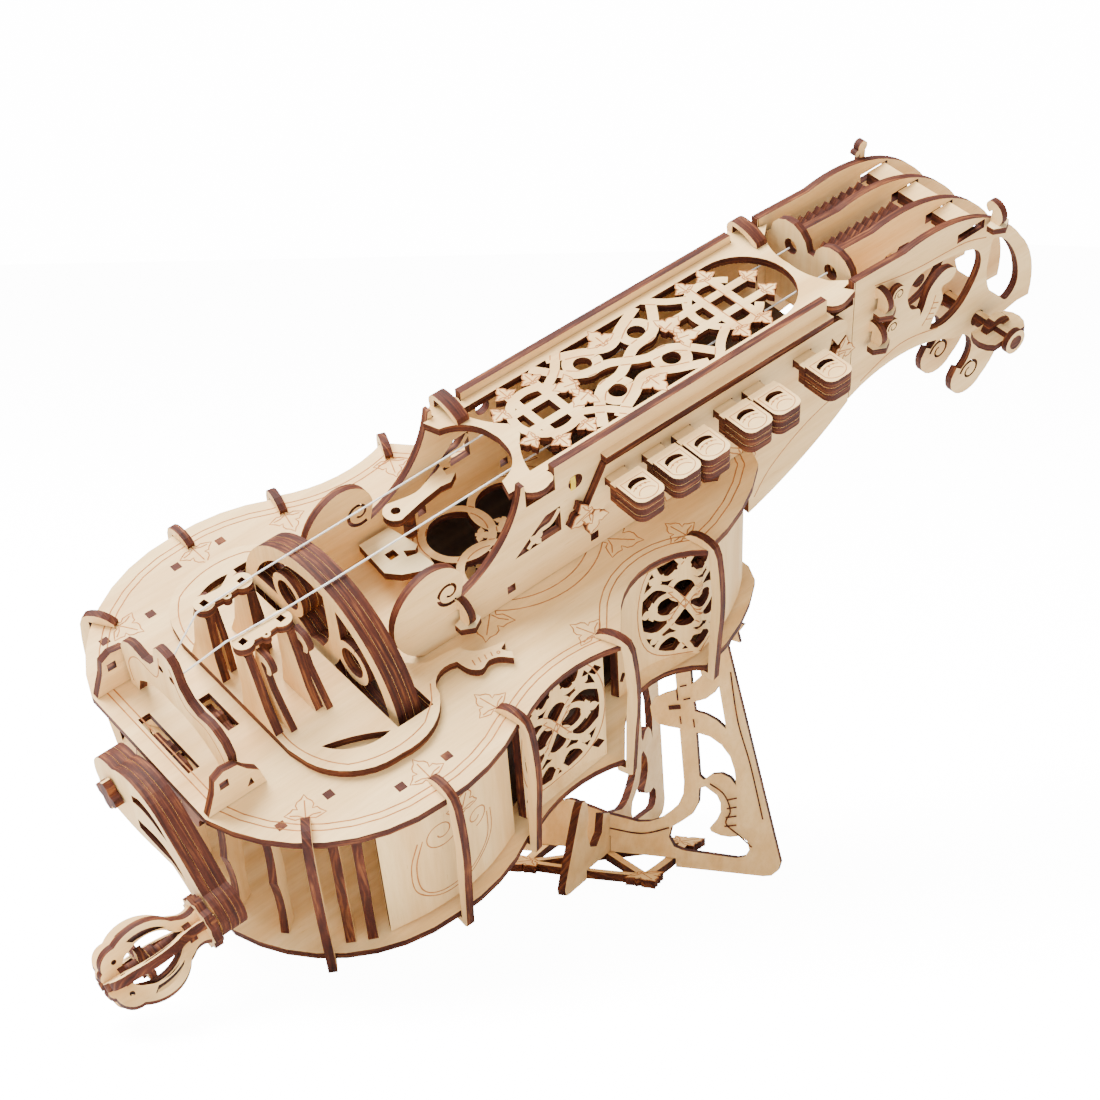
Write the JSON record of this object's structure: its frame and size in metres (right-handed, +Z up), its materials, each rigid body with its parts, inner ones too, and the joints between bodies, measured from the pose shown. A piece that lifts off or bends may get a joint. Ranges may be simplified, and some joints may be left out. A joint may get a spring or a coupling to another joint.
{
  "type": "hurdy gurdy",
  "caption": "Plywood hurdy gurdy with a hand-cranked wheel, sliding keys, fretted keybox lid and scrolled pegbox, leaning on a loose cross-shaped stand.",
  "frame": {"origin": "centre of the whole object's footprint, on the table", "axes": "+X from the crank towards the pegbox, +Y towards the raised far side, +Z up from the table"},
  "size_m": [0.3848, 0.1706, 0.2617],
  "materials": {
    "birch_boards": "pale birch plywood face, fine grain, dark laser-cut edges",
    "birch_sides": "bent birch plywood, engraved, dark laser-cut edges",
    "birch_ribs": "birch plywood, dark laser-cut edges",
    "birch_fittings": "birch plywood, dark laser-cut edges",
    "birch_drive": "stacked birch plywood, dark laser-cut edges",
    "birch_keybox": "birch plywood, fretted and engraved",
    "birch_keys": "stacked birch plywood, engraved",
    "birch_pegbox": "birch plywood, fretted",
    "birch_stand": "birch plywood, fretted and engraved",
    "nylon_string": "translucent pale nylon line"
  },
  "bodies": {
    "frame": {"back_plate": "birch_boards", "bridge_cap_left": "birch_fittings", "bridge_cap_right": "birch_fittings", "bridge_leg_left_front": "birch_fittings", "bridge_leg_left_rear": "birch_fittings", "bridge_leg_right_front": "birch_fittings", "bridge_leg_right_rear": "birch_fittings", "key_rail": "birch_keybox", "keybox_wall_left": "birch_keybox", "keybox_wall_right": "birch_keybox", "lower_bout_panel_left": "birch_sides", "lower_bout_panel_right": "birch_sides", "nut_plate": "birch_fittings", "pegbox_arch_left": "birch_pegbox", "pegbox_arch_right": "birch_pegbox", "pegbox_block_left": "birch_pegbox", "pegbox_block_right": "birch_pegbox", "pegbox_cheek_left": "birch_pegbox", "pegbox_cheek_right": "birch_pegbox", "rib_bout_left": "birch_ribs", "rib_bout_right": "birch_ribs", "rib_neck_left": "birch_ribs", "rib_neck_right": "birch_ribs", "rib_tail_left": "birch_ribs", "rib_tail_right": "birch_ribs", "rib_waist_front_left": "birch_ribs", "rib_waist_front_right": "birch_ribs", "rib_waist_rear_left": "birch_ribs", "rib_waist_rear_right": "birch_ribs", "soundboard": "birch_boards", "stand_base": "birch_stand", "stand_plate_a": "birch_stand", "stand_plate_b": "birch_stand", "string_anchor": "birch_fittings", "string_left": "nylon_string", "string_right": "nylon_string", "tail_bracket_left": "birch_fittings", "tail_bracket_right": "birch_fittings", "tuner_rack_left": "birch_pegbox", "tuner_rack_right": "birch_pegbox", "upper_bout_panel_left": "birch_sides", "upper_bout_panel_right": "birch_sides", "waist_grille_left": "birch_sides", "waist_grille_right": "birch_sides", "wheel_surround": "birch_boards"},
    "drive": {"wheel": "birch_drive", "axle": "birch_drive", "crank_arm": "birch_drive"},
    "handle": {"crank_handle": "birch_drive"},
    "gear": {"rosette_gear": "birch_fittings"},
    "lid": {"lid": "birch_keybox"},
    "lifter": {"string_lifter": "birch_boards"},
    "key_1": {"key_1": "birch_keys"},
    "key_2": {"key_2": "birch_keys"},
    "key_3": {"key_3": "birch_keys"},
    "key_4": {"key_4": "birch_keys"},
    "key_5": {"key_5": "birch_keys"},
    "key_6": {"key_6": "birch_keys"},
    "peg_left": {"tuning_peg_left": "birch_pegbox"},
    "peg_right": {"tuning_peg_right": "birch_pegbox"}
  },
  "joints": [
    {"name": "crank_spin", "type": "hinge", "parent": "frame", "child": "drive", "pos_m": [-0.096, -0.0123, 0.09913], "axis": [0.9108, 0, 0.4128], "continuous": true},
    {"name": "handle_spin", "type": "hinge", "parent": "drive", "child": "handle", "pos_m": [-0.17406, -0.04791, 0.02306], "axis": [0.9108, 0, 0.4128], "continuous": true},
    {"name": "gear_spin", "type": "hinge", "parent": "frame", "child": "gear", "pos_m": [-0.0223, -0.0092, 0.11939], "axis": [-0.3624, -0.4787, 0.7997], "continuous": true},
    {"name": "lid_hinge", "type": "hinge", "parent": "frame", "child": "lid", "pos_m": [0.00567, -0.01672, 0.20547], "axis": [-0.9108, 0, -0.4128], "range_deg": [0, 90]},
    {"name": "lifter_swing", "type": "hinge", "parent": "frame", "child": "lifter", "pos_m": [-0.07254, -0.01023, 0.12851], "axis": [-0.3624, -0.4787, 0.7997], "range_deg": [-10, 10]},
    {"name": "key_1_press", "type": "slide", "parent": "frame", "child": "key_1", "axis": [-0.1976, 0.878, 0.436], "range_m": [0, 0.004], "stiffness_N_per_m": 20},
    {"name": "key_2_press", "type": "slide", "parent": "frame", "child": "key_2", "axis": [-0.1976, 0.878, 0.436], "range_m": [0, 0.004], "stiffness_N_per_m": 20},
    {"name": "key_3_press", "type": "slide", "parent": "frame", "child": "key_3", "axis": [-0.1976, 0.878, 0.436], "range_m": [0, 0.004], "stiffness_N_per_m": 20},
    {"name": "key_4_press", "type": "slide", "parent": "frame", "child": "key_4", "axis": [-0.1976, 0.878, 0.436], "range_m": [0, 0.004], "stiffness_N_per_m": 20},
    {"name": "key_5_press", "type": "slide", "parent": "frame", "child": "key_5", "axis": [-0.1976, 0.878, 0.436], "range_m": [0, 0.004], "stiffness_N_per_m": 20},
    {"name": "key_6_press", "type": "slide", "parent": "frame", "child": "key_6", "axis": [-0.1976, 0.878, 0.436], "range_m": [0, 0.004], "stiffness_N_per_m": 20},
    {"name": "peg_left_turn", "type": "hinge", "parent": "frame", "child": "peg_left", "pos_m": [0.1593, -0.01135, 0.2129], "axis": [-0.1976, 0.878, 0.436], "range_deg": [-180, 180]},
    {"name": "peg_right_turn", "type": "hinge", "parent": "frame", "child": "peg_right", "pos_m": [0.1593, -0.01135, 0.2129], "axis": [-0.1976, 0.878, 0.436], "range_deg": [-180, 180]}
  ],
  "couplings": [
    {"joint": "gear_spin", "follows": "crank_spin", "ratio": -0.5}
  ]
}
